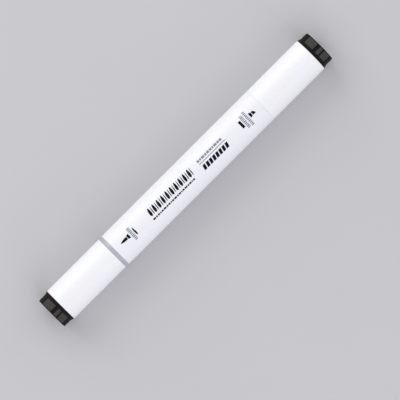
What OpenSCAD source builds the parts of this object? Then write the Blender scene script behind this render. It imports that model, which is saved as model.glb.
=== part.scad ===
// Twin-tip art marker: a round white barrel with a brush nib at one end and a broad
// chisel nib at the other, each under its own pull-off cap with a black end plug.
// It lies along X on the plane z = 0, brush end at -X and chisel end at +X, with the
// origin under the middle of its length. All sizes are in millimetres.

/* [Barrel] */
// Outer radius of the barrel
barrel_r = 7.8; // [6.5:0.1:9.4]
// Length of the barrel tube between its end faces
barrel_len = 82.2; // [68:0.1:99]
// Wall of the barrel tube
barrel_wall = 1.0; // [0.8:0.05:1.2]
// Rounding of the barrel's outer edges
barrel_edge = 0.2; // [0.1:0.05:0.3]

/* [Ink reservoir] */
// Air gap between the wrapped reservoir and the barrel's bore
reservoir_gap = 0.3; // [0.2:0.05:0.5]
// Thickness of the film wrapped round the fibre core
film_t = 0.15; // [0.1:0.01:0.2]
// Depth that each nib's stem pushes into the core
stem_depth = 6.0; // [4:0.5:9]

/* [Brush end] */
// How far the visible ring is set in from the barrel's radius
ring_inset = 0.15; // [0.05:0.05:0.3]
// Length of the visible ring, which stops the cap
ring_len = 1.7; // [1.2:0.1:2.6]
// Chamfer on the ring's outer edge
ring_chamfer = 0.3; // [0.1:0.05:0.5]
// Length of the cylindrical shoulder that guides the cap
brush_shoulder_len = 2.6; // [2:0.1:3.5]
// Length of the brush holder's cone
brush_cone_len = 10.4; // [8:0.1:12]
// Radius of the brush holder's neck
brush_neck_r = 3.72; // [3.1:0.01:4.5]
// Length of the brush holder's neck
brush_neck_len = 6.3; // [5.5:0.1:8]
// Rounding of the neck's free edge
brush_neck_edge = 0.65; // [0.3:0.05:0.9]
// Radius of the brush nib
brush_nib_r = 1.965; // [1.6:0.005:2.4]
// Radius of the brush nib's feeding stem
brush_stem_r = 1.4; // [1.1:0.05:1.5]
// Straight part of the nib outside the neck
brush_nib_straight = 4.4; // [3.5:0.1:5.4]
// Length of the nib's pointed ogive
brush_nib_point = 6.9; // [5.5:0.1:8.3]
// Flat left at the very tip of the brush
brush_tip_r = 0.08; // [0.05:0.01:0.15]

/* [Chisel end] */
// Length of the collar that the cap's lip covers
collar_len = 3.3; // [2.5:0.1:3.8]
// How far the cone starts inside the collar's radius
cone_step = 0.1; // [0.05:0.05:0.3]
// Length of the chisel holder's cone
chisel_cone_len = 11.4; // [9:0.1:13.2]
// Radius of the chisel holder's neck where the cone meets it
chisel_neck_r = 3.98; // [3.9:0.01:4.8]
// How much the neck's radius narrows towards its free end
chisel_neck_draft = 0.1; // [0:0.02:0.14]
// Length of the chisel holder's neck
chisel_neck_len = 6.5; // [5.3:0.1:7.7]
// Width of the chisel nib
chisel_nib_w = 6.9; // [5.8:0.1:7.0]
// Thickness of the chisel nib
chisel_nib_t = 3.6; // [3:0.1:3.9]
// Rounding of the nib's long edges
chisel_nib_edge = 1.2; // [0.8:0.1:1.4]
// Reach of the nib's leading corner outside the neck
chisel_nib_reach = 8.5; // [7:0.1:10.2]
// How far the trailing corner stays behind the leading one
chisel_nib_slant = 2.75; // [2:0.05:3.3]
// How far the leading corner is set in from the nib's side
chisel_tip_inset = 1.0; // [0.5:0.1:1.5]
// Length over which the nib's side leans in to the leading corner
chisel_lean_len = 4.8; // [3:0.1:5.5]
// Width of the nib's feeding stem
chisel_stem_w = 4.0; // [3.2:0.1:4.6]
// Thickness of the nib's feeding stem
chisel_stem_t = 2.2; // [1.8:0.1:2.6]

/* [Nib holders] */
// Length of each holder's spigot inside the barrel
spigot_len = 8.0; // [6:0.5:10]
// Wall of the hollow holders
holder_wall = 1.1; // [0.9:0.05:1.3]
// How far above the cone the nibs are seated and the liners stop
seat_above_cone = 0.5; // [0.2:0.1:1]
// Thickness of the ledge that a nib's shoulder stops on
ledge_t = 1.2; // [0.8:0.1:1.6]
// Outer draft of the cap's guiding shoulder
shoulder_draft = 0.1; // [0:0.05:0.2]

/* [Caps] */
// How far the brush cap is set in from the barrel's radius
brush_cap_inset = 0.1; // [0:0.05:0.2]
// Wall of the cap shells
cap_wall = 0.8; // [0.7:0.05:1.0]
// Wall of the chisel cap's thin lip
lip_wall = 0.4; // [0.35:0.05:0.6]
// Length of the taper between the lip's bore and the shell's bore
lip_taper_len = 2.2; // [1.5:0.1:3]
// Rounding of the shells' outer edges
cap_edge = 0.3; // [0.15:0.05:0.4]
// Rounding of the shells' edges at the mouth
mouth_edge = 0.15; // [0.1:0.05:0.2]
// Free space past the tip of the brush nib
brush_tip_gap = 1.6; // [1:0.1:2.5]
// Free space past the tip of the chisel nib
chisel_tip_gap = 1.7; // [1:0.1:3]

/* [Cap liners] */
// Wall of the inner caps
liner_wall = 0.8; // [0.6:0.05:1]
// Thickness of the liner's closed end
liner_floor = 0.9; // [0.7:0.05:1.2]
// Thickness of the liner's flange
flange_t = 1.0; // [0.8:0.1:1.4]
// Height of the shell's rib that the flange stops on
rib_h = 0.6; // [0.4:0.05:0.8]
// Length of that rib
rib_len = 1.0; // [0.8:0.1:1.5]
// Chamfer that leads the neck into the liner's bore
lead_in = 0.4; // [0.2:0.1:0.6]
// Free space round a nib inside the liner
nib_gap = 0.3; // [0.2:0.05:0.6]

/* [End plugs] */
// Height of a plug outside its shell
plug_h = 5.0; // [4:0.1:5.8]
// Height of the plug's tapered flange
plug_flange_h = 1.3; // [1:0.1:1.6]
// How far the flange is set in from the shell's radius
flange_inset = 0.05; // [0.03:0.01:0.2]
// How far the plug's crown is set in from the barrel's radius
crown_inset = 0.55; // [0.5:0.05:1]
// Rounding of the crown's end
crown_edge = 0.35; // [0.2:0.05:0.5]
// Wall of the hollow plug
plug_wall = 1.2; // [0.9:0.1:1.4]
// Length of the plug's spigot inside the shell
plug_spigot_len = 3.0; // [2.5:0.1:4]
// Height of the grip pads above the crown
pad_h = 0.18; // [0.1:0.02:0.25]
// Step between the flange and the crown, and below the foot of the pads
pad_foot = 0.12; // [0.05:0.01:0.3]

/* [Fits] */
// Radial clearance where a cap slides on the holder
slide_fit = 0.05; // [0.03:0.01:0.1]
// Radial clearance between pieces fixed in one another
seat_fit = 0.03; // [0.02:0.01:0.05]

/* [Hidden] */
$fn = 96;

// Pads on one face of a plug: start and end angles from the top of the marker
PADS = [[-46, -8], [4.5, 16.5], [22.5, 50.5]];
// A cut passes this far beyond the faces it opens
past = 1;

white = [0.96, 0.96, 0.98];
grey = [0.66, 0.68, 0.73];
black = [0.07, 0.07, 0.07];
felt = [0.1, 0.1, 0.1];
fibre = [0.25, 0.25, 0.28];
film = [0.85, 0.87, 0.9];

// Radii that follow from the barrel and the caps
bore_r = barrel_r - barrel_wall;
ring_r = barrel_r - ring_inset;
brush_cap_r = barrel_r - brush_cap_inset;
chisel_cap_r = barrel_r;
brush_shoulder_r = brush_cap_r - cap_wall - slide_fit;
collar_r = chisel_cap_r - lip_wall - slide_fit;
spigot_r = bore_r - seat_fit;
film_r = bore_r - reservoir_gap;
core_r = film_r - film_t - seat_fit;
crown_r = barrel_r - crown_inset;

// Stations of the brush end, measured out from the barrel's end face
brush_cone_start = ring_len + brush_shoulder_len;
brush_cone_end = brush_cone_start + brush_cone_len;
brush_neck_end = brush_cone_end + brush_neck_len;
brush_tip = brush_neck_end + brush_nib_straight + brush_nib_point;
brush_plug_end = brush_tip + brush_tip_gap + liner_floor + plug_wall;
brush_shell_end = brush_plug_end - plug_h;

// Stations of the chisel end, measured out from the barrel's end face
chisel_cone_end = collar_len + chisel_cone_len;
chisel_neck_end = chisel_cone_end + chisel_neck_len;
chisel_neck_end_r = chisel_neck_r - chisel_neck_draft;
chisel_tip = chisel_neck_end + chisel_nib_reach;
chisel_plug_end = chisel_tip + chisel_tip_gap + liner_floor + plug_wall;
chisel_shell_end = chisel_plug_end - plug_h;

// Places of the barrel's end faces along X
total_len = brush_plug_end + barrel_len + chisel_plug_end;
brush_face_x = brush_plug_end - total_len / 2;
chisel_face_x = total_len / 2 - chisel_plug_end;
core_len = barrel_len - 2 * spigot_len;

// Local frames: +Z runs out from the barrel's end face along the axis, +X points up
module at_brush_end() {
    translate([brush_face_x, 0, barrel_r])
        rotate([0, -90, 0])
            children();
}

module at_chisel_end() {
    translate([chisel_face_x, 0, barrel_r])
        rotate([0, 90, 0])
            rotate([0, 0, 180])
                children();
}

// Half section of a solid rod from z0 to z1, with its outer edges rounded
module rod_section(r, z0, z1, edge_0, edge_1) {
    translate([0, z0])
        square([r - edge_0, z1 - z0 - edge_1]);
    translate([0, z0 + edge_0])
        square([r - edge_1, z1 - z0 - edge_0]);
    translate([0, z0 + edge_0])
        square([r, z1 - z0 - edge_0 - edge_1]);
    if (edge_0 > 0)
        translate([r - edge_0, z0 + edge_0])
            circle(r = edge_0);
    translate([r - edge_1, z1 - edge_1])
        circle(r = edge_1);
}

// Rectangle centred on the origin, with round corners
module rounded_rect(w, t, corner) {
    square([w - 2 * corner, t], center = true);
    square([w, t - 2 * corner], center = true);
    for (sx = [-1, 1])
        for (sy = [-1, 1])
            translate([sx * (w / 2 - corner), sy * (t / 2 - corner)])
                circle(r = corner);
}

module barrel() {
    color(white)
        at_brush_end()
            rotate_extrude()
                difference() {
                    rod_section(barrel_r, -barrel_len, 0, barrel_edge, barrel_edge);
                    translate([-past, -barrel_len - past])
                        square([bore_r + past, barrel_len + 2 * past]);
                }
}

module reservoir_core() {
    color(fibre)
        difference() {
            at_brush_end()
                translate([0, 0, -spigot_len - core_len])
                    cylinder(r = core_r, h = core_len);
            at_brush_end()
                translate([0, 0, -spigot_len - stem_depth])
                    cylinder(r = brush_stem_r + seat_fit, h = stem_depth + past);
            at_chisel_end()
                translate([0, 0, -spigot_len - stem_depth])
                    linear_extrude(stem_depth + past)
                        square([chisel_stem_t + 2 * seat_fit, chisel_stem_w + 2 * seat_fit],
                            center = true);
        }
}

module reservoir_film() {
    color(film)
        at_brush_end()
            translate([0, 0, -spigot_len - core_len])
                difference() {
                    cylinder(r = film_r, h = core_len);
                    translate([0, 0, -past])
                        cylinder(r = core_r + seat_fit, h = core_len + 2 * past);
                }
}

// Hollow of a nib holder, from the mouth of its spigot to the ledge under the neck
module holder_hollow(cone_start, cone_start_r, cone_end, neck_r) {
    ledge_foot = cone_end + seat_above_cone - ledge_t;
    polygon([
        [0, -spigot_len - past],
        [spigot_r - holder_wall, -spigot_len - past],
        [spigot_r - holder_wall, 0],
        [min(cone_start_r, spigot_r) - holder_wall, cone_start],
        [neck_r - holder_wall, ledge_foot],
        [0, ledge_foot]
    ]);
}

module brush_holder() {
    seat_z = brush_cone_end + seat_above_cone;
    color(grey)
        at_brush_end()
            rotate_extrude()
                difference() {
                    union() {
                        polygon([
                            [0, -spigot_len],
                            [spigot_r, -spigot_len],
                            [spigot_r, 0],
                            [ring_r, 0],
                            [ring_r, ring_len - ring_chamfer],
                            [ring_r - ring_chamfer, ring_len],
                            [brush_shoulder_r, ring_len],
                            [brush_shoulder_r - shoulder_draft, brush_cone_start],
                            [brush_neck_r, brush_cone_end],
                            [0, brush_cone_end]
                        ]);
                        rod_section(brush_neck_r, brush_cone_end - past / 2, brush_neck_end,
                            0, brush_neck_edge);
                    }
                    holder_hollow(brush_cone_start, brush_shoulder_r, brush_cone_end,
                        brush_neck_r);
                    square([brush_stem_r + seat_fit, seat_z]);
                    translate([0, seat_z])
                        square([brush_nib_r + seat_fit, brush_neck_len + past]);
                }
}

module brush_nib() {
    seat_z = brush_cone_end + seat_above_cone;
    shoulder_z = brush_neck_end + brush_nib_straight;
    // Radius of the arc that runs from the nib's side to its tip
    ogive_r = (pow(brush_nib_r - brush_tip_r, 2) + pow(brush_nib_point, 2))
        / (2 * (brush_nib_r - brush_tip_r));
    color(felt)
        at_brush_end()
            rotate_extrude() {
                translate([0, -spigot_len - stem_depth])
                    square([brush_stem_r, seat_z + spigot_len + stem_depth]);
                translate([0, seat_z])
                    square([brush_nib_r, shoulder_z - seat_z]);
                intersection() {
                    translate([brush_nib_r - ogive_r, shoulder_z])
                        circle(r = ogive_r, $fn = 360);
                    translate([0, shoulder_z])
                        square([brush_nib_r, brush_nib_point]);
                }
            }
}

module chisel_holder() {
    seat_z = chisel_cone_end + seat_above_cone;
    cone_r = collar_r - cone_step;
    color(white)
        at_chisel_end()
            difference() {
                rotate_extrude()
                    difference() {
                        polygon([
                            [0, -spigot_len],
                            [spigot_r, -spigot_len],
                            [spigot_r, 0],
                            [collar_r, 0],
                            [collar_r, collar_len - cone_step],
                            [cone_r, collar_len],
                            [chisel_neck_r, chisel_cone_end],
                            [chisel_neck_end_r, chisel_neck_end],
                            [0, chisel_neck_end]
                        ]);
                        holder_hollow(collar_len, cone_r, chisel_cone_end, chisel_neck_r);
                    }
                linear_extrude(seat_z)
                    square([chisel_stem_t + 2 * seat_fit, chisel_stem_w + 2 * seat_fit],
                        center = true);
                translate([0, 0, seat_z])
                    linear_extrude(chisel_neck_len + past)
                        rounded_rect(chisel_nib_t + 2 * seat_fit, chisel_nib_w + 2 * seat_fit,
                            chisel_nib_edge);
            }
}

module chisel_nib() {
    seat_z = chisel_cone_end + seat_above_cone;
    half_w = chisel_nib_w / 2;
    // Outline across the nib's width: the leading corner lies on the -Y side
    outline = [
        [-half_w, seat_z],
        [half_w, seat_z],
        [half_w, chisel_tip - chisel_nib_slant],
        [chisel_tip_inset - half_w, chisel_tip],
        [-half_w, chisel_tip - chisel_lean_len]
    ];
    color(felt)
        at_chisel_end() {
            translate([0, 0, -spigot_len - stem_depth])
                linear_extrude(seat_z + spigot_len + stem_depth)
                    square([chisel_stem_t, chisel_stem_w], center = true);
            intersection() {
                translate([0, 0, seat_z])
                    linear_extrude(chisel_tip - seat_z)
                        rounded_rect(chisel_nib_t, chisel_nib_w, chisel_nib_edge);
                translate([-chisel_nib_t, 0, 0])
                    rotate([90, 0, 90])
                        linear_extrude(2 * chisel_nib_t)
                            polygon(outline);
            }
        }
}

// Rib inside a shell that the liner's flange stops on
module rib_section(shell_r, cone_end) {
    flange_z = cone_end + seat_above_cone;
    translate([shell_r - cap_wall - rib_h, flange_z - rib_len])
        square([rib_h + cap_wall / 2, rib_len]);
}

module brush_cap_shell() {
    color(white)
        at_brush_end()
            rotate_extrude() {
                difference() {
                    rod_section(brush_cap_r, ring_len, brush_shell_end, mouth_edge, cap_edge);
                    translate([-past, ring_len - past])
                        square([brush_cap_r - cap_wall + past, brush_shell_end + past]);
                }
                rib_section(brush_cap_r, brush_cone_end);
            }
}

module chisel_cap_shell() {
    lip_bore_r = collar_r + slide_fit;
    bore_start = collar_len + lip_taper_len;
    color(white)
        at_chisel_end()
            rotate_extrude() {
                difference() {
                    rod_section(chisel_cap_r, 0, chisel_shell_end, mouth_edge, cap_edge);
                    polygon([
                        [0, -past],
                        [lip_bore_r, -past],
                        [lip_bore_r, collar_len],
                        [chisel_cap_r - cap_wall, bore_start],
                        [chisel_cap_r - cap_wall, chisel_shell_end + past],
                        [0, chisel_shell_end + past]
                    ]);
                }
                rib_section(chisel_cap_r, chisel_cone_end);
            }
}

// Inner cap: a flange in the shell, a bore that seals on the neck and a closed chamber
module liner(shell_r, cone_end, neck_base_r, neck_end_r, neck_end, nib_reach_r, end_z) {
    flange_z = cone_end + seat_above_cone;
    base_bore_r = neck_base_r + slide_fit;
    end_bore_r = neck_end_r + slide_fit;
    step_z = neck_end + nib_gap;
    chamber_r = nib_reach_r + nib_gap;
    rotate_extrude()
        difference() {
            polygon([
                [0, flange_z],
                [shell_r - cap_wall - seat_fit, flange_z],
                [shell_r - cap_wall - seat_fit, flange_z + flange_t],
                [base_bore_r + liner_wall, flange_z + flange_t],
                [end_bore_r + liner_wall, step_z],
                [chamber_r + liner_wall, step_z + liner_wall],
                [chamber_r + liner_wall, end_z],
                [0, end_z]
            ]);
            polygon([
                [0, flange_z - past],
                [base_bore_r + lead_in, flange_z - past],
                [base_bore_r + lead_in, flange_z],
                [base_bore_r, flange_z + lead_in],
                [end_bore_r, step_z],
                [chamber_r, step_z],
                [chamber_r, end_z - liner_floor],
                [0, end_z - liner_floor]
            ]);
        }
}

module brush_cap_liner() {
    color(white)
        at_brush_end()
            liner(brush_cap_r, brush_cone_end, brush_neck_r, brush_neck_r, brush_neck_end,
                brush_nib_r + nib_gap, brush_plug_end - plug_wall);
}

module chisel_cap_liner() {
    // The corners of the flat nib reach this far from the axis
    corner_reach = norm([
        chisel_nib_w / 2 - chisel_nib_edge,
        chisel_nib_t / 2 - chisel_nib_edge
    ]) + chisel_nib_edge;
    color(white)
        at_chisel_end()
            liner(chisel_cap_r, chisel_cone_end, chisel_neck_r, chisel_neck_end_r,
                chisel_neck_end, corner_reach - nib_gap / 2, chisel_plug_end - plug_wall);
}

// End plug: a spigot in the shell, a tapered flange and a crown with grip pads, hollow
// below its end wall. The pads stand on the faces towards +X and -X.
module plug(shell_r, shell_end, side) {
    foot_z = shell_end + plug_flange_h;
    end_z = shell_end + plug_h;
    pad_z = foot_z + pad_foot;
    difference() {
        union() {
            rotate_extrude() {
                translate([0, shell_end - plug_spigot_len])
                    square([shell_r - cap_wall - seat_fit, plug_spigot_len]);
                polygon([
                    [0, shell_end],
                    [shell_r - flange_inset, shell_end],
                    [crown_r + pad_foot, foot_z],
                    [0, foot_z]
                ]);
                rod_section(crown_r, foot_z - past / 2, end_z, 0, crown_edge);
            }
            for (face = [0, 180])
                for (pad = PADS)
                    rotate([0, 0, face])
                        mirror([0, side, 0])
                            rotate([0, 0, pad[0]])
                                rotate_extrude(angle = pad[1] - pad[0])
                                    translate([crown_r - crown_edge, pad_z])
                                        square([crown_edge + pad_h, end_z - crown_edge - pad_z]);
        }
        translate([0, 0, shell_end - plug_spigot_len - past])
            cylinder(r = crown_r - plug_wall, h = plug_spigot_len + plug_h - plug_wall + past);
    }
}

module brush_cap_plug() {
    color(black)
        at_brush_end()
            plug(brush_cap_r, brush_shell_end, 1);
}

module chisel_cap_plug() {
    color(black)
        at_chisel_end()
            plug(chisel_cap_r, chisel_shell_end, 0);
}

barrel();
reservoir_core();
reservoir_film();
brush_holder();
brush_nib();
chisel_holder();
chisel_nib();
brush_cap_shell();
brush_cap_liner();
brush_cap_plug();
chisel_cap_shell();
chisel_cap_liner();
chisel_cap_plug();
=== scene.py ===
import math

import bmesh
import bpy
from mathutils import Matrix, Vector


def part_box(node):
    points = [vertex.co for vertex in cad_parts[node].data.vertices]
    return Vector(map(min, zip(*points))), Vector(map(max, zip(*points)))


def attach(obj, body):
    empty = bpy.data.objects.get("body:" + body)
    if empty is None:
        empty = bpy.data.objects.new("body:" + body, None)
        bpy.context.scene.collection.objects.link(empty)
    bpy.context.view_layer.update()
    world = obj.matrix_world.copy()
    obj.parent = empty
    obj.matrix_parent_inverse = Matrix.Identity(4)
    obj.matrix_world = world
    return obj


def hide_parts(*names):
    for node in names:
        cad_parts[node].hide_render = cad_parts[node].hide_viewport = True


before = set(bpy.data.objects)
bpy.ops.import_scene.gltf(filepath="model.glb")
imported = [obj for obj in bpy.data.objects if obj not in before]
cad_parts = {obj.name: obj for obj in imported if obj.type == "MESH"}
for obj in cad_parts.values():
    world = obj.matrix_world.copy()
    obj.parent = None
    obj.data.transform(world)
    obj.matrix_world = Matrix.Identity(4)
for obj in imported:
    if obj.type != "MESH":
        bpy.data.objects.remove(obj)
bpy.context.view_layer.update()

mm = 0.001
barrelLow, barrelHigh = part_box("barrel")
axisHeight = (barrelLow[2] + barrelHigh[2]) / 2
endFace = {"brush": (barrelLow[0], -1), "chisel": (barrelHigh[0], 1)}  # its place along X, and the way out
turns = 192  # steps of a full turn
longestStep = 1.0  # a turned section is cut into steps no longer than this, in mm
welding = 0.002  # points nearer than this, in mm, are one


def stationOf(end, node):  # how far a node reaches out from the barrel's end face, in mm
    low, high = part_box(node)
    face, way = endFace[end]
    return (face - low[0]) / mm if way < 0 else (high[0] - face) / mm


barrelRadius = (barrelHigh[2] - barrelLow[2]) / 2 / mm
barrelLength = (barrelHigh[0] - barrelLow[0]) / mm
brushTip = stationOf("brush", "brush_nib")
chiselTip = stationOf("chisel", "chisel_nib")
brushShellEnd = stationOf("brush", "brush_cap_shell")
chiselShellEnd = stationOf("chisel", "chisel_cap_shell")
brushPlugEnd = stationOf("brush", "brush_cap_plug")
chiselPlugEnd = stationOf("chisel", "chisel_cap_plug")
print("frame loaded: barrel", round(barrelRadius, 2), "x", round(barrelLength, 1), "mm")


# camera: long lens over the middle, leaning a little towards the brush end
shot = {"lens": 539.6, "distance": 2.4, "lean": 1.0, "across": 5.72, "down": 8.13}

back = Vector((-math.sin(math.radians(shot["lean"])), 0, math.cos(math.radians(shot["lean"]))))
upward = Vector((1, 1, 0))
upward = (upward - back * upward.dot(back)).normalized()
sideways = upward.cross(back)
aim = Vector((0, 0, axisHeight)) + sideways * shot["across"] * mm - upward * shot["down"] * mm
cameraData = bpy.data.cameras.new("camera")
cameraData.lens = shot["lens"]
cameraData.sensor_width = 36
camera = bpy.data.objects.new("camera", cameraData)
bpy.context.scene.collection.objects.link(camera)
placing = Matrix((sideways, upward, back)).transposed().to_4x4()
placing.translation = aim + back * shot["distance"]
camera.matrix_world = placing
bpy.context.scene.camera = camera
bpy.context.scene.view_settings.view_transform = "Standard"  # keeps the white plastic white
print("camera placed")


def hexColour(code):  # sRGB hex to the linear colour that a shader takes
    parts = [int(code[i:i + 2], 16) / 255 for i in (0, 2, 4)]
    linear = [p / 12.92 if p <= 0.04045 else ((p + 0.055) / 1.055) ** 2.4 for p in parts]
    return (*linear, 1)


def addNode(tree, kind, inputs=None, **settings):
    item = tree.nodes.new(kind)
    for name, value in settings.items():
        setattr(item, name, value)
    for socket, value in (inputs or {}).items():
        if isinstance(value, bpy.types.NodeSocket):
            tree.links.new(value, item.inputs[socket])
        else:
            item.inputs[socket].default_value = value
    return item


def newMaterial(name):
    material = bpy.data.materials.new(name)
    material.use_nodes = True
    material.node_tree.nodes.clear()
    return material, material.node_tree


# polypropylene and ABS straight from a polished mould: an even tone that drifts over
# centimetres, a skin of fine grain, and lengthwise rubbing that shows only in the gloss
def mouldedPlastic(look):
    material, tree = newMaterial(look["name"])
    place = addNode(tree, "ShaderNodeTexCoord").outputs["Object"]
    drift = addNode(tree, "ShaderNodeTexNoise",
                    {"Vector": place, "Scale": 1 / (look["driftSize"] * mm), "Detail": 2.0})
    tone = addNode(tree, "ShaderNodeMix",
                   {"Factor": drift.outputs[0], "A": hexColour(look["colour"]),
                    "B": hexColour(look["shade"])},
                   data_type="RGBA")
    rubbed = addNode(tree, "ShaderNodeMapping", {"Vector": place, "Scale": (0.04, 1, 1)})
    rubbing = addNode(tree, "ShaderNodeTexNoise",
                      {"Vector": rubbed.outputs[0], "Scale": 1 / (look["rubSize"] * mm), "Detail": 3.0})
    gloss = addNode(tree, "ShaderNodeMapRange",
                    {"Value": rubbing.outputs[0], "From Min": 0.35, "From Max": 0.7,
                     "To Min": look["roughness"], "To Max": look["roughness"] + look["rub"]})
    grain = addNode(tree, "ShaderNodeTexNoise",
                    {"Vector": place, "Scale": 1 / (look["grainSize"] * mm), "Detail": 3.0})
    bump = addNode(tree, "ShaderNodeBump",
                   {"Height": grain.outputs[0], "Strength": look["grain"], "Distance": 0.01 * mm})
    shader = addNode(tree, "ShaderNodeBsdfPrincipled",
                     {"Base Color": tone.outputs["Result"], "Roughness": gloss.outputs[0],
                      "Normal": bump.outputs[0], "IOR": 1.49, "Specular IOR Level": look.get("shine", 0.5),
                      "Subsurface Weight": look.get("glow", 0), "Subsurface Scale": 0.6 * mm})
    addNode(tree, "ShaderNodeOutputMaterial", {"Surface": shader.outputs[0]})
    return material


# bonded polyester fibre soaked in black ink: threads run along the nib, so its sides show
# fine lengthwise lines and its cut faces show the threads' ends
def soakedFibre(look):
    material, tree = newMaterial(look["name"])
    place = addNode(tree, "ShaderNodeTexCoord").outputs["Object"]
    stretched = addNode(tree, "ShaderNodeMapping", {"Vector": place, "Scale": (look["along"], 1, 1)})
    threads = addNode(tree, "ShaderNodeTexNoise",
                      {"Vector": stretched.outputs[0], "Scale": 1 / (look["thread"] * mm), "Detail": 4.0,
                       "Roughness": 0.65})
    tone = addNode(tree, "ShaderNodeMapRange",
                   {"Value": threads.outputs[0], "From Min": 0.35, "From Max": 0.68})
    colour = addNode(tree, "ShaderNodeMix",
                     {"Factor": tone.outputs[0], "A": hexColour(look["colour"]),
                      "B": hexColour(look["light"])},
                     data_type="RGBA")
    gloss = addNode(tree, "ShaderNodeMapRange",
                    {"Value": threads.outputs[0], "From Min": 0.35, "From Max": 0.68,
                     "To Min": look["roughness"] + 0.1, "To Max": look["roughness"] - 0.1})
    bump = addNode(tree, "ShaderNodeBump",
                   {"Height": threads.outputs[0], "Strength": look["relief"], "Distance": 0.03 * mm})
    shader = addNode(tree, "ShaderNodeBsdfPrincipled",
                     {"Base Color": colour.outputs["Result"], "Roughness": gloss.outputs[0],
                      "Normal": bump.outputs[0], "IOR": 1.5, "Specular IOR Level": look["shine"],
                      "Sheen Weight": 0.03, "Sheen Roughness": 0.5})
    addNode(tree, "ShaderNodeOutputMaterial", {"Surface": shader.outputs[0]})
    return material


# pad-printed ink: thin, matte, a little uneven where it lay down thinner
def printInk(look):
    material, tree = newMaterial(look["name"])
    place = addNode(tree, "ShaderNodeTexCoord").outputs["Object"]
    speckle = addNode(tree, "ShaderNodeTexNoise",
                      {"Vector": place, "Scale": 1 / (0.25 * mm), "Detail": 3.0})
    spread = addNode(tree, "ShaderNodeMapRange",
                     {"Value": speckle.outputs[0], "From Min": 0.55, "From Max": 0.8})
    colour = addNode(tree, "ShaderNodeMix",
                     {"Factor": spread.outputs[0], "A": hexColour(look["colour"]),
                      "B": hexColour(look["thin"])},
                     data_type="RGBA")
    bump = addNode(tree, "ShaderNodeBump",
                   {"Height": speckle.outputs[0], "Strength": 0.15, "Distance": 0.01 * mm})
    shader = addNode(tree, "ShaderNodeBsdfPrincipled",
                     {"Base Color": colour.outputs["Result"], "Roughness": 0.6, "Normal": bump.outputs[0],
                      "IOR": 1.48, "Specular IOR Level": look["shine"]})
    addNode(tree, "ShaderNodeOutputMaterial", {"Surface": shader.outputs[0]})
    return material


barrelPlastic = mouldedPlastic({"name": "barrelPolypropylene", "colour": "F6F6F9", "shade": "F1F1F6",
                                "driftSize": 25, "rubSize": 0.4, "roughness": 0.34, "rub": 0.1,
                                "grainSize": 0.25, "grain": 0.12, "glow": 0.1})
capPlastic = mouldedPlastic({"name": "capPolypropylene", "colour": "F9F9FB", "shade": "F5F5F9",
                             "driftSize": 25, "rubSize": 0.4, "roughness": 0.3, "rub": 0.1,
                             "grainSize": 0.25, "grain": 0.12, "glow": 0.1})
chiselHolderPlastic = mouldedPlastic({"name": "whiteHolderPolypropylene",
                                      "colour": "F2F2F7", "shade": "ECEDF4",
                                      "driftSize": 12, "rubSize": 0.3, "roughness": 0.3, "rub": 0.12,
                                      "grainSize": 0.2, "grain": 0.1, "glow": 0.1})
brushHolderPlastic = mouldedPlastic({"name": "greyHolderPolypropylene",
                                     "colour": "B6BAC4", "shade": "ADB1BD",
                                     "driftSize": 9, "rubSize": 0.3, "roughness": 0.24, "rub": 0.12,
                                     "grainSize": 0.2, "grain": 0.12, "glow": 0.06})
linerPlastic = mouldedPlastic({"name": "naturalPolypropylene", "colour": "E6E6E2", "shade": "DCDDDA",
                               "driftSize": 8, "rubSize": 0.3, "roughness": 0.4, "rub": 0.1,
                               "grainSize": 0.25, "grain": 0.1, "glow": 0.3})
plugPlastic = mouldedPlastic({"name": "blackAbs", "colour": "161615", "shade": "1C1C1A",
                              "driftSize": 5, "rubSize": 0.3, "roughness": 0.42, "rub": 0.15,
                              "grainSize": 0.18, "grain": 0.3, "shine": 0.07})
# the pads' grain and roughness are their own spark-eroded texture, but their grey, lighter than the black
# plug, is a painted reflection of the softbox on the crown's front faces
padPlasticPaintedReflection = mouldedPlastic({"name": "sparkErodedAbsPaintedReflection", "colour": "413F3D", "shade": "484643",
                             "driftSize": 3, "rubSize": 0.25, "roughness": 0.7, "rub": 0.12,
                             "grainSize": 0.12, "grain": 0.9, "shine": 0.12})
brushFelt = soakedFibre({"name": "brushNibFibre", "colour": "0C0B0A", "light": "26241F", "along": 0.03,
                         "thread": 0.09, "roughness": 0.42, "relief": 0.5, "shine": 0.25})
chiselFelt = soakedFibre({"name": "chiselNibFibre", "colour": "0E0D0C", "light": "22201D", "along": 0.05,
                          "thread": 0.13, "roughness": 0.62, "relief": 0.6, "shine": 0.1})
reservoirFibre = soakedFibre({"name": "reservoirFibre", "colour": "0F0F12", "light": "2A2A30",
                              "along": 0.02, "thread": 0.2, "roughness": 0.7, "relief": 0.6, "shine": 0.2})
darkInk = printInk({"name": "darkPrint", "colour": "07061A", "thin": "100F26", "shine": 0.1})
greyInk = printInk({"name": "greyPrint", "colour": "8A8A9C", "thin": "9696A6", "shine": 0.1})
print("materials made")


def finishPiece(bm, name, body, nodes, materials, sharp=35):
    mesh = bpy.data.meshes.new(name)
    for face in bm.faces:
        face.smooth = True
    bm.to_mesh(mesh)
    bm.free()
    mesh.set_sharp_from_angle(angle=math.radians(sharp))
    for material in materials:
        mesh.materials.append(material)
    piece = bpy.data.objects.new(name, mesh)
    bpy.context.scene.collection.objects.link(piece)
    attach(piece, body)
    if nodes:
        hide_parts(*nodes)
    print("made", name, len(mesh.polygons), "faces")
    return piece


def weld(bm):  # joins the doubled points that bevels, cuts and turning leave
    bmesh.ops.remove_doubles(bm, verts=bm.verts, dist=welding * mm)
    bmesh.ops.dissolve_degenerate(bm, edges=bm.edges, dist=welding * mm)


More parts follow.
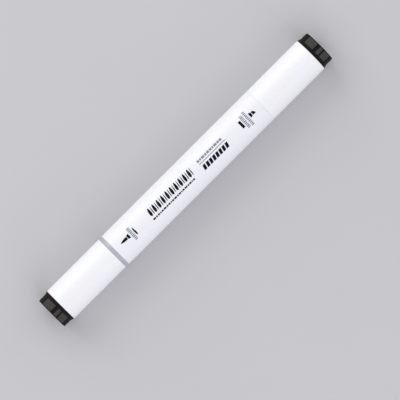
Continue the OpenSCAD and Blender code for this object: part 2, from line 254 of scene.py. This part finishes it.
# a section as corners (how far out, radius, setback of its rounding) in mm, turned about the axis
def turnSection(bm, end, corners, closed):
    face, way = endFace[end]
    points = [bm.verts.new((face + way * out * mm, 0, axisHeight + radius * mm))
              for out, radius, setback in corners]
    pairs = list(zip(points, points[1:])) + ([(points[-1], points[0])] if closed else [])
    for pair in pairs:
        bm.edges.new(pair)
    section = set(points)
    for point, (out, radius, setback) in zip(points, corners):
        if setback:
            rounded = bmesh.ops.bevel(bm, geom=[point], offset=setback * mm, offset_type="OFFSET",
                                      segments=6, profile=0.5, affect="VERTICES", material=-1)
            section.update(rounded["verts"])
    edges = {edge for point in section if point.is_valid for edge in point.link_edges}
    for edge in edges:
        cuts = int(edge.calc_length() / (longestStep * mm))
        if cuts:
            bmesh.ops.subdivide_edges(bm, edges=[edge], cuts=cuts)
    wire = [edge for edge in bm.edges if edge.is_wire]
    ends = {point for edge in wire for point in edge.verts}
    bmesh.ops.spin(bm, geom=list(ends) + wire, cent=(0, 0, axisHeight), axis=(1, 0, 0),
                   angle=2 * math.pi, steps=turns, use_merge=True)
    weld(bm)


# barrel
barrel = {"wall": 1.0, "edge": 0.2}

bm = bmesh.new()
turnSection(bm, "brush", [(0, barrelRadius, barrel["edge"]), (-barrelLength, barrelRadius, barrel["edge"]),
                          (-barrelLength, barrelRadius - barrel["wall"], 0),
                          (0, barrelRadius - barrel["wall"], 0)], True)
bmesh.ops.recalc_face_normals(bm, faces=bm.faces)
finishPiece(bm, "barrelTube", "pen", ["barrel"], [barrelPlastic])


# brush holder: ring, shoulder, cone and neck, with a hollow behind the nib's ledge
brushHolder = {"spigot": 8.0, "spigotRadius": 6.77, "wall": 1.1, "ringRadius": 7.65, "ringLength": 1.7,
               "ringChamfer": 0.3, "shoulderRadius": 6.85, "shoulderEnd": 4.3, "shoulderDraft": 0.1,
               "coneEnd": 14.7, "neckRadius": 3.72, "neckEnd": 21.0, "neckEdge": 0.65, "seat": 15.2,
               "ledge": 14.0, "seatFit": 0.03, "coneRounding": 1.0, "neckFillet": 1.2}
brushNib = {"stem": 14.0, "stemRadius": 1.4, "radius": 1.965, "straight": 4.4, "tipRadius": 0.08,
            "steps": 22}

h = brushHolder
pocket = brushNib["radius"] + h["seatFit"]
stemHole = brushNib["stemRadius"] + h["seatFit"]
hollow = h["spigotRadius"] - h["wall"]
bm = bmesh.new()
turnSection(bm, "brush", [
    (-h["spigot"], h["spigotRadius"], 0), (0, h["spigotRadius"], 0), (0, h["ringRadius"], 0.08),
    (h["ringLength"] - h["ringChamfer"], h["ringRadius"], 0.12),
    (h["ringLength"], h["ringRadius"] - h["ringChamfer"], 0.1),
    (h["ringLength"], h["shoulderRadius"], 0.05),
    (h["shoulderEnd"], h["shoulderRadius"] - h["shoulderDraft"], h["coneRounding"]),
    (h["coneEnd"], h["neckRadius"], h["neckFillet"]), (h["neckEnd"], h["neckRadius"], h["neckEdge"]),
    (h["neckEnd"], pocket, 0.1), (h["seat"], pocket, 0), (h["seat"], stemHole, 0),
    (h["ledge"], stemHole, 0), (h["ledge"], h["neckRadius"] - h["wall"], 0),
    (h["shoulderEnd"], hollow, 0), (-h["spigot"], hollow, 0)], True)
bmesh.ops.recalc_face_normals(bm, faces=bm.faces)
finishPiece(bm, "brushEndHolder", "pen", ["brush_holder"], [brushHolderPlastic])


# brush nib: a stem, a round rod, and a point whose sides are one long arc
n = brushNib
nibStart = brushHolder["seat"]
pointStart = brushHolder["neckEnd"] + n["straight"]
pointLength = brushTip - pointStart
arc = ((n["radius"] - n["tipRadius"]) ** 2 + pointLength ** 2) / (2 * (n["radius"] - n["tipRadius"]))
outline = [(-n["stem"], 0, 0), (-n["stem"], n["stemRadius"], 0), (nibStart, n["stemRadius"], 0),
           (nibStart, n["radius"], 0.1), (pointStart, n["radius"], 0)]
for step in range(1, n["steps"] + 1):
    out = pointLength * step / n["steps"]
    outline.append((pointStart + out, n["radius"] - arc + math.sqrt(arc ** 2 - out ** 2), 0))
outline.append((brushTip, 0, 0))
bm = bmesh.new()
turnSection(bm, "brush", outline, False)
bmesh.ops.recalc_face_normals(bm, faces=bm.faces)
finishPiece(bm, "brushPoint", "pen", ["brush_nib"], [brushFelt], sharp=50)


# a rounded rectangle across the axis at the chisel end
def slotLoop(bm, out, width, thickness, corner):
    face, way = endFace["chisel"]
    x = face + way * out * mm
    half = (width / 2 * mm, thickness / 2 * mm)
    points = [bm.verts.new((x, sy * half[0], axisHeight + sz * half[1]))
              for sy, sz in ((-1, -1), (1, -1), (1, 1), (-1, 1))]
    for pair in zip(points, points[1:] + points[:1]):
        bm.edges.new(pair)
    if corner:
        bmesh.ops.bevel(bm, geom=points, offset=corner * mm, offset_type="OFFSET", segments=8, profile=0.5,
                        affect="VERTICES", material=-1)
    return [edge for edge in bm.edges if edge.is_wire]


def openLoop(bm, out):  # the open edges at one station of the chisel end
    face, way = endFace["chisel"]
    x = face + way * out * mm
    return [edge for edge in bm.edges
            if edge.is_boundary and all(abs(point.co.x - x) < 0.001 * mm for point in edge.verts)]


# chisel holder: collar, cone and neck, with a slot for the flat nib
chiselHolder = {"spigot": 8.0, "spigotRadius": 6.77, "wall": 1.1, "collarRadius": 7.35,
                "collarLength": 3.3, "coneStep": 0.1, "coneEnd": 14.7, "neckRadius": 3.98,
                "neckEndRadius": 3.88, "neckEnd": 21.2, "neckEdge": 0.12, "seat": 15.2, "ledge": 14.0,
                "seatFit": 0.03, "coneRounding": 0.8, "neckFillet": 1.0}
chiselNib = {"width": 6.9, "thickness": 3.6, "edge": 1.2, "slant": 2.75, "tipInset": 1.0, "lean": 4.8,
             "stem": 14.0, "stemWidth": 4.0, "stemThickness": 2.2, "cutEdge": 0.16}

h = chiselHolder
n = chiselNib
hollow = h["spigotRadius"] - h["wall"]
fit = 2 * h["seatFit"]
bm = bmesh.new()
turnSection(bm, "chisel", [
    (h["ledge"], h["neckRadius"] - h["wall"], 0), (h["collarLength"], hollow, 0), (-h["spigot"], hollow, 0),
    (-h["spigot"], h["spigotRadius"], 0), (0, h["spigotRadius"], 0), (0, h["collarRadius"], 0),
    (h["collarLength"] - h["coneStep"], h["collarRadius"], 0.04),
    (h["collarLength"], h["collarRadius"] - h["coneStep"], h["coneRounding"]),
    (h["coneEnd"], h["neckRadius"], h["neckFillet"]),
    (h["neckEnd"] - h["neckEdge"], h["neckEndRadius"], 0.1),
    (h["neckEnd"], h["neckEndRadius"] - h["neckEdge"], 0)], False)
rim = openLoop(bm, h["neckEnd"])
foot = openLoop(bm, h["ledge"])
mouth = slotLoop(bm, h["neckEnd"], n["width"] + fit, n["thickness"] + fit, n["edge"])
bmesh.ops.triangle_fill(bm, edges=rim + mouth, use_beauty=True)
floorEdges = bmesh.ops.extrude_edge_only(bm, edges=mouth)["geom"]
floorEdges = [item for item in floorEdges if isinstance(item, bmesh.types.BMEdge) and item.is_boundary]
bmesh.ops.translate(bm, verts=list({point for edge in floorEdges for point in edge.verts}),
                    vec=((h["seat"] - h["neckEnd"]) * mm, 0, 0))
stemEdge = slotLoop(bm, h["seat"], n["stemWidth"] + fit, n["stemThickness"] + fit, 0)
bmesh.ops.triangle_fill(bm, edges=floorEdges + stemEdge, use_beauty=True)
stemEnd = bmesh.ops.extrude_edge_only(bm, edges=stemEdge)["geom"]
stemEnd = [item for item in stemEnd if isinstance(item, bmesh.types.BMEdge) and item.is_boundary]
bmesh.ops.translate(bm, verts=list({point for edge in stemEnd for point in edge.verts}),
                    vec=((h["ledge"] - h["seat"]) * mm, 0, 0))
bmesh.ops.triangle_fill(bm, edges=stemEnd + foot, use_beauty=True)
bmesh.ops.recalc_face_normals(bm, faces=bm.faces)
finishPiece(bm, "chiselEndHolder", "pen", ["chisel_holder"], [chiselHolderPlastic])


# chisel nib: a flat bar with round long edges, cut on a slant, its leading side leaned in
face, way = endFace["chisel"]
bm = bmesh.new()
start, finish = (face + out * mm for out in (h["seat"], chiselTip))
block = Matrix.Translation(((start + finish) / 2, 0, axisHeight)) @ Matrix.Diagonal(
    (finish - start, n["width"] * mm, n["thickness"] * mm, 1))
bmesh.ops.create_cube(bm, size=1, matrix=block)
longEdges = [edge for edge in bm.edges if abs(edge.verts[0].co.x - edge.verts[1].co.x) > mm]
bmesh.ops.bevel(bm, geom=longEdges, offset=n["edge"] * mm, offset_type="OFFSET", segments=8, profile=0.5,
                affect="EDGES", material=-1)
halfWidth = n["width"] / 2 * mm
tip = Vector((finish, halfWidth - n["tipInset"] * mm, 0))
cuts = [(tip, Vector((finish - n["slant"] * mm, -halfWidth, 0))),
        (Vector((finish - n["lean"] * mm, halfWidth, 0)), tip)]
for first, second in cuts:
    along = (second - first).normalized()
    normal = Vector((-along.y, along.x, 0))
    normal = normal if normal.x > 0 else -normal
    bmesh.ops.bisect_plane(bm, geom=bm.verts[:] + bm.edges[:] + bm.faces[:], plane_co=first,
                           plane_no=normal, clear_outer=True)
    bmesh.ops.holes_fill(bm, edges=[edge for edge in bm.edges if edge.is_boundary], sides=0)
weld(bm)
cutEdges = [edge for edge in bm.edges if edge.calc_face_angle(0) > 0.15
            and min(point.co.x for point in edge.verts) > finish - (n["lean"] + 0.01) * mm]
bmesh.ops.bevel(bm, geom=cutEdges, offset=n["cutEdge"] * mm, offset_type="OFFSET", segments=4, profile=0.5,
                affect="EDGES", material=-1, clamp_overlap=True)
weld(bm)
stem = Matrix.Translation((face + (h["seat"] - n["stem"]) / 2 * mm, 0, axisHeight)) @ Matrix.Diagonal(
    ((h["seat"] + n["stem"]) * mm, n["stemWidth"] * mm, n["stemThickness"] * mm, 1))
bmesh.ops.create_cube(bm, size=1, matrix=stem)
bmesh.ops.recalc_face_normals(bm, faces=bm.faces)
finishPiece(bm, "chiselPoint", "pen", ["chisel_nib"], [chiselFelt], sharp=40)


# cap shells: plain tubes with a rib inside that the inner cap stops on
brushCap = {"radius": 7.7, "wall": 0.8, "mouth": 1.7, "mouthEdge": 0.15, "endEdge": 0.3,
            "ribStart": 14.2, "ribEnd": 15.2, "rib": 0.6}
chiselCap = {"radius": 7.8, "wall": 0.8, "lipBore": 7.4, "lipEnd": 3.3, "boreStart": 5.5, "mouthEdge": 0.15,
             "endEdge": 0.3, "ribStart": 14.2, "ribEnd": 15.2, "rib": 0.6}

c = brushCap
bore = c["radius"] - c["wall"]
bm = bmesh.new()
turnSection(bm, "brush", [
    (c["mouth"], c["radius"], c["mouthEdge"]), (brushShellEnd, c["radius"], c["endEdge"]),
    (brushShellEnd, bore, 0), (c["ribEnd"], bore, 0), (c["ribEnd"], bore - c["rib"], 0.1),
    (c["ribStart"], bore - c["rib"], 0.1), (c["ribStart"], bore, 0), (c["mouth"], bore, 0.1)], True)
bmesh.ops.recalc_face_normals(bm, faces=bm.faces)
finishPiece(bm, "brushCapTube", "brush_cap", ["brush_cap_shell"], [capPlastic])

c = chiselCap
bore = c["radius"] - c["wall"]
bm = bmesh.new()
turnSection(bm, "chisel", [
    (0, c["radius"], c["mouthEdge"]), (chiselShellEnd, c["radius"], c["endEdge"]),
    (chiselShellEnd, bore, 0), (c["ribEnd"], bore, 0), (c["ribEnd"], bore - c["rib"], 0.1),
    (c["ribStart"], bore - c["rib"], 0.1), (c["ribStart"], bore, 0), (c["boreStart"], bore, 0),
    (c["lipEnd"], c["lipBore"], 0), (0, c["lipBore"], 0.05)], True)
bmesh.ops.recalc_face_normals(bm, faces=bm.faces)
finishPiece(bm, "chiselCapTube", "chisel_cap", ["chisel_cap_shell"], [capPlastic])


# flat work is drawn along X and across Y in mm, then laid round the axis
def layRound(bm, verts, radius):
    for point in verts:
        angle = point.co.y / (radius * mm)
        reach = radius * mm + point.co.z
        point.co = (point.co.x, reach * math.sin(angle), axisHeight + reach * math.cos(angle))


# end plugs: a spigot in the shell, a tapered flange, and a crown with three grip pads on each face
plug = {"spigot": 3.0, "flangeHeight": 1.3, "flangeInset": 0.05, "crownRadius": 7.25, "crownEdge": 0.35,
        "wall": 1.2, "foot": 0.12, "padHeight": 0.18, "padSink": 0.3, "padEdge": 0.09, "padCorner": 0.25,
        "padStripe": 0.4, "seatFit": 0.03,
        "pads": [(-46, -8), (4.5, 16.5), (22.5, 50.5)], "gateRadius": 0.6, "gateDepth": 0.12}


def makePlug(name, end, body, node, shellEnd, plugEnd, cap):
    p = plug
    footStart = shellEnd + p["flangeHeight"]
    bore = cap["radius"] - cap["wall"] - p["seatFit"]
    hollow = p["crownRadius"] - p["wall"]
    bm = bmesh.new()
    turnSection(bm, end, [
        (plugEnd - p["wall"], 0, 0), (plugEnd - p["wall"], hollow, 0), (shellEnd - p["spigot"], hollow, 0),
        (shellEnd - p["spigot"], bore, 0), (shellEnd, bore, 0),
        (shellEnd, cap["radius"] - p["flangeInset"], 0.04),
        (footStart, p["crownRadius"] + p["foot"], 0.06), (footStart, p["crownRadius"], 0.05),
        (plugEnd, p["crownRadius"], p["crownEdge"]), (plugEnd, p["gateRadius"], 0.04),
        (plugEnd - p["gateDepth"], p["gateRadius"], 0), (plugEnd - p["gateDepth"], 0, 0)], False)
    crownFaces = set(bm.faces)
    face, way = endFace[end]
    padStart, padEnd = footStart + p["foot"], plugEnd - p["crownEdge"]
    for side in (0, 180):
        for low, high in p["pads"]:
            before = set(bm.verts)
            width = math.radians(high - low) * p["crownRadius"]
            middle = -math.radians((low + high) / 2 + side) * p["crownRadius"]
            size = Matrix.Diagonal(((padEnd - padStart) * mm, width * mm,
                                    (p["padHeight"] + p["padSink"]) * mm, 1))
            spot = Matrix.Translation((face + way * (padStart + padEnd) / 2 * mm, middle * mm,
                                       (p["padHeight"] - p["padSink"]) / 2 * mm))
            bmesh.ops.create_cube(bm, size=1, matrix=spot @ size)
            fresh = [point for point in bm.verts if point not in before]
            upright = [edge for edge in bm.edges if edge.verts[0] in fresh
                       and abs(edge.verts[0].co.z - edge.verts[1].co.z) > 0.1 * mm]
            bmesh.ops.bevel(bm, geom=upright, offset=p["padCorner"] * mm, offset_type="OFFSET", segments=4,
                            profile=0.5, affect="EDGES", material=-1)
            top = [edge for edge in bm.edges if edge.verts[0] not in before
                   and all(point.co.z > (p["padHeight"] - 0.01) * mm for point in edge.verts)]
            bmesh.ops.bevel(bm, geom=top, offset=p["padEdge"] * mm, offset_type="OFFSET", segments=3,
                            profile=0.5, affect="EDGES", material=-1)
            stripes = int(width / p["padStripe"])  # narrow stripes follow the round of the crown
            for stripe in range(1, stripes):
                geom = [item for item in bm.verts[:] + bm.edges[:] + bm.faces[:]
                        if (item if isinstance(item, bmesh.types.BMVert) else item.verts[0]) not in before]
                line = (middle - width / 2 + width * stripe / stripes) * mm
                bmesh.ops.bisect_plane(bm, geom=geom, plane_co=(0, line, 0), plane_no=(0, 1, 0))
            layRound(bm, [point for point in bm.verts if point not in before], p["crownRadius"])
    # pad faces take the lighter grey, a painted reflection of the softbox on the black plug
    for padFace in bm.faces:
        if padFace not in crownFaces:
            padFace.material_index = 1
    bmesh.ops.recalc_face_normals(bm, faces=bm.faces)
    finishPiece(bm, name, body, [node], [plugPlastic, padPlasticPaintedReflection])


makePlug("brushCapEnd", "brush", "brush_cap", "brush_cap_plug",
         brushShellEnd, brushPlugEnd, brushCap)
makePlug("chiselCapEnd", "chisel", "chisel_cap", "chisel_cap_plug",
         chiselShellEnd, chiselPlugEnd, chiselCap)


# pieces that stay as the frame has them, with their own finishes
def refinish(node, material):
    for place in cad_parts[node].material_slots:
        place.material = material


film, tree = newMaterial("clearPolypropyleneFilm")  # thin glossy film: see-through, with faint creases
place = addNode(tree, "ShaderNodeTexCoord").outputs["Object"]
creases = addNode(tree, "ShaderNodeTexNoise", {"Vector": place, "Scale": 1 / (2.5 * mm), "Detail": 3.0})
bump = addNode(tree, "ShaderNodeBump",
               {"Height": creases.outputs[0], "Strength": 0.3, "Distance": 0.05 * mm})
shader = addNode(tree, "ShaderNodeBsdfPrincipled",
                 {"Base Color": hexColour("E8ECEF"), "Roughness": 0.12, "Transmission Weight": 0.9,
                  "IOR": 1.49, "Normal": bump.outputs[0]})
addNode(tree, "ShaderNodeOutputMaterial", {"Surface": shader.outputs[0]})
refinish("reservoir_film", film)
refinish("reservoir_core", reservoirFibre)
refinish("brush_cap_liner", linerPlastic)
refinish("chisel_cap_liner", linerPlastic)
print("frame pieces finished")


# prints on the barrel, as along X and across Y in mm: a row of thick and thin brush dabs over plain
# dashes, a row of slanted chisel strokes under thin dashes and a rule, and a nib's shape near each end
prints = {"height": 0.02, "corner": 0.08, "strip": 0.35, "dabPoints": 24, "thinning": 0.45,
          "dabs": 10, "firstDab": -19.7, "dabPitch": 2.44, "dabWidth": 1.5, "hairline": 0.5,
          "dabFoot": -0.95, "dabTop": 2.75, "dabSlant": 0.45,
          "strokes": 8, "firstStroke": 8.0, "strokePitch": 1.77, "strokeWidth": 1.3, "strokeSlant": 0.55,
          "strokeFoot": -3.0, "strokeTop": -0.75}


def bar(x0, x1, y0, y1):
    return [(x0, y0), (x1, y0), (x1, y1), (x0, y1)]


def dashes(start, finish, low, high, sizes, gap=0.3, upright=False):  # a row of plain dashes
    row, at, count = [], start, 0
    while at + sizes[count % len(sizes)] <= finish:
        size = sizes[count % len(sizes)]
        row.append(bar(low, high, at, at + size) if upright else bar(at, at + size, low, high))
        at += size + gap
        count += 1
    return row


def dab(x, width, foot, top, slant):  # one press of a brush: a round foot that thins out upwards
    outline = []
    for step in range(prints["dabPoints"]):
        turn = 2 * math.pi * step / prints["dabPoints"]
        rise = (1 - math.cos(turn)) / 2
        reach = width / 2 * math.sin(turn) * (1 - prints["thinning"] * rise)
        outline.append((x + slant * rise - reach, foot + (top - foot) * rise))
    return outline


def makePrint(name, shapes, material):
    bm = bmesh.new()
    for shape in shapes:
        bm.faces.new([bm.verts.new((x * mm, y * mm, 0)) for x, y in shape])
    corners = [point for point in bm.verts if point.calc_edge_angle(0) > math.radians(40)]
    bmesh.ops.bevel(bm, geom=corners, offset=prints["corner"] * mm, offset_type="OFFSET", segments=3,
                    profile=0.5, affect="VERTICES", material=-1, clamp_overlap=True)
    strip = prints["strip"] * mm  # narrow strips follow the round of the barrel
    lines = int(max(abs(point.co.y) for point in bm.verts) / strip) + 1
    for line in range(-lines, lines + 1):
        bmesh.ops.bisect_plane(bm, geom=bm.verts[:] + bm.edges[:] + bm.faces[:],
                               plane_co=(0, line * strip, 0), plane_no=(0, 1, 0))
    weld(bm)
    raised = bmesh.ops.extrude_face_region(bm, geom=bm.faces[:])["geom"]
    bmesh.ops.translate(bm, verts=[item for item in raised if isinstance(item, bmesh.types.BMVert)],
                        vec=(0, 0, prints["height"] * mm))
    layRound(bm, bm.verts, barrelRadius)
    bmesh.ops.recalc_face_normals(bm, faces=bm.faces)
    return finishPiece(bm, name, "pen", [], [material])


p = prints
darkShapes, greyShapes = [], []
for index in range(p["dabs"]):
    x = p["firstDab"] + index * p["dabPitch"]
    darkShapes.append(dab(x, p["dabWidth"], p["dabFoot"], p["dabTop"], p["dabSlant"]))
    darkShapes.append(dab(x + p["dabPitch"] / 2, p["hairline"], p["dabFoot"], p["dabTop"], p["dabSlant"]))
for index in range(p["strokes"]):
    x = p["firstStroke"] + index * p["strokePitch"]
    stroke = bar(x, x + p["strokeWidth"], p["strokeFoot"], p["strokeTop"])
    darkShapes.append(stroke[:2] + [(along + p["strokeSlant"], across) for along, across in stroke[2:]])
darkShapes += dashes(-20.5, 4.1, -2.65, -1.95, (1.3, 0.7, 1.0, 0.5, 0.9))

# a brush nib's shape by the brush end, and a broad nib's by the chisel end
brushMark = [[(-36.7, 0.1), (-35.6, -0.3), (-34.4, -0.5), (-33.1, -0.56), (-33.1, 0.76), (-34.4, 0.7),
              (-35.6, 0.5)],
             [(-32.9, -0.66), (-31.8, -1.0), (-31.8, 1.2), (-32.9, 0.86)],
             dab(-28.95, 0.95, -1.95, 1.8, -0.1)]
chiselMark = [bar(30.6, 31.75, -1.95, 1.4),
              [(35.9, -1.1), (37.0, -0.8), (37.0, 0.8), (35.9, 1.1)],
              [(37.25, -0.75), (38.9, -0.75), (38.1, 0.65), (37.25, 0.75)]]
darkShapes += brushMark + chiselMark

# thin dashes and a rule over the strokes, then ladders of dashes beside the nib shapes
greyShapes += dashes(7.9, 22.3, 1.15, 2.15, (1.1, 0.7, 1.5, 0.9, 1.2))
greyShapes.append(bar(7.8, 22.3, 0.12, 0.42))
greyShapes += dashes(-3.1, 3.1, -31.2, -29.8, (0.45, 0.35, 0.5), gap=0.26, upright=True)
greyShapes += dashes(-3.3, 3.1, 32.2, 33.6, (0.4, 0.5, 0.35), gap=0.27, upright=True)
greyShapes += dashes(-3.7, 3.3, 34.1, 35.3, (0.5, 0.35, 0.45), gap=0.27, upright=True)
makePrint("darkMarks", darkShapes, darkInk)
makePrint("greyMarks", greyShapes, greyInk)


# floor, lights and surroundings
studio = {"floor": "CBCBCD", "mottle": "C7C7CA", "sky": "F9F9FC", "skyStrength": 0.71}

bm = bmesh.new()
bmesh.ops.create_grid(bm, x_segments=2, y_segments=2, size=2.0)
mesh = bpy.data.meshes.new("studioFloor")
bm.to_mesh(mesh)
bm.free()
floor = bpy.data.objects.new("studioFloor", mesh)
bpy.context.scene.collection.objects.link(floor)
paper, tree = newMaterial("matteBackdropPaper")  # uncoated paper: matte, with a barely seen mottle
place = addNode(tree, "ShaderNodeTexCoord").outputs["Object"]
mottle = addNode(tree, "ShaderNodeTexNoise", {"Vector": place, "Scale": 1 / (40 * mm), "Detail": 4.0})
tone = addNode(tree, "ShaderNodeMix", {"Factor": mottle.outputs[0], "A": hexColour(studio["floor"]),
                                       "B": hexColour(studio["mottle"])}, data_type="RGBA")
shader = addNode(tree, "ShaderNodeBsdfPrincipled", {"Base Color": tone.outputs["Result"], "Roughness": 0.9})
addNode(tree, "ShaderNodeOutputMaterial", {"Surface": shader.outputs[0]})
mesh.materials.append(paper)

lamps = [{"name": "softbox", "from": (0.0, 1.0, 0.55), "size": 1.0, "power": 6.2, "colour": "FFFEFC"},
         {"name": "fill", "from": (-0.2, -0.9, 0.6), "size": 1.0, "power": 3.8, "colour": "F6F6FD"}]
for lamp in lamps:
    light = bpy.data.lights.new(lamp["name"], "AREA")
    light.size = lamp["size"]
    light.energy = lamp["power"]
    light.color = hexColour(lamp["colour"])[:3]
    holder = bpy.data.objects.new(lamp["name"], light)
    holder.location = lamp["from"]
    holder.rotation_euler = Vector(lamp["from"]).to_track_quat("Z", "Y").to_euler()
    bpy.context.scene.collection.objects.link(holder)
world = bpy.data.worlds.new("studio")
world.use_nodes = True
bpy.context.scene.world = world
background = world.node_tree.nodes["Background"]
background.inputs["Color"].default_value = hexColour(studio["sky"])
background.inputs["Strength"].default_value = studio["skyStrength"]
print("studio lit")
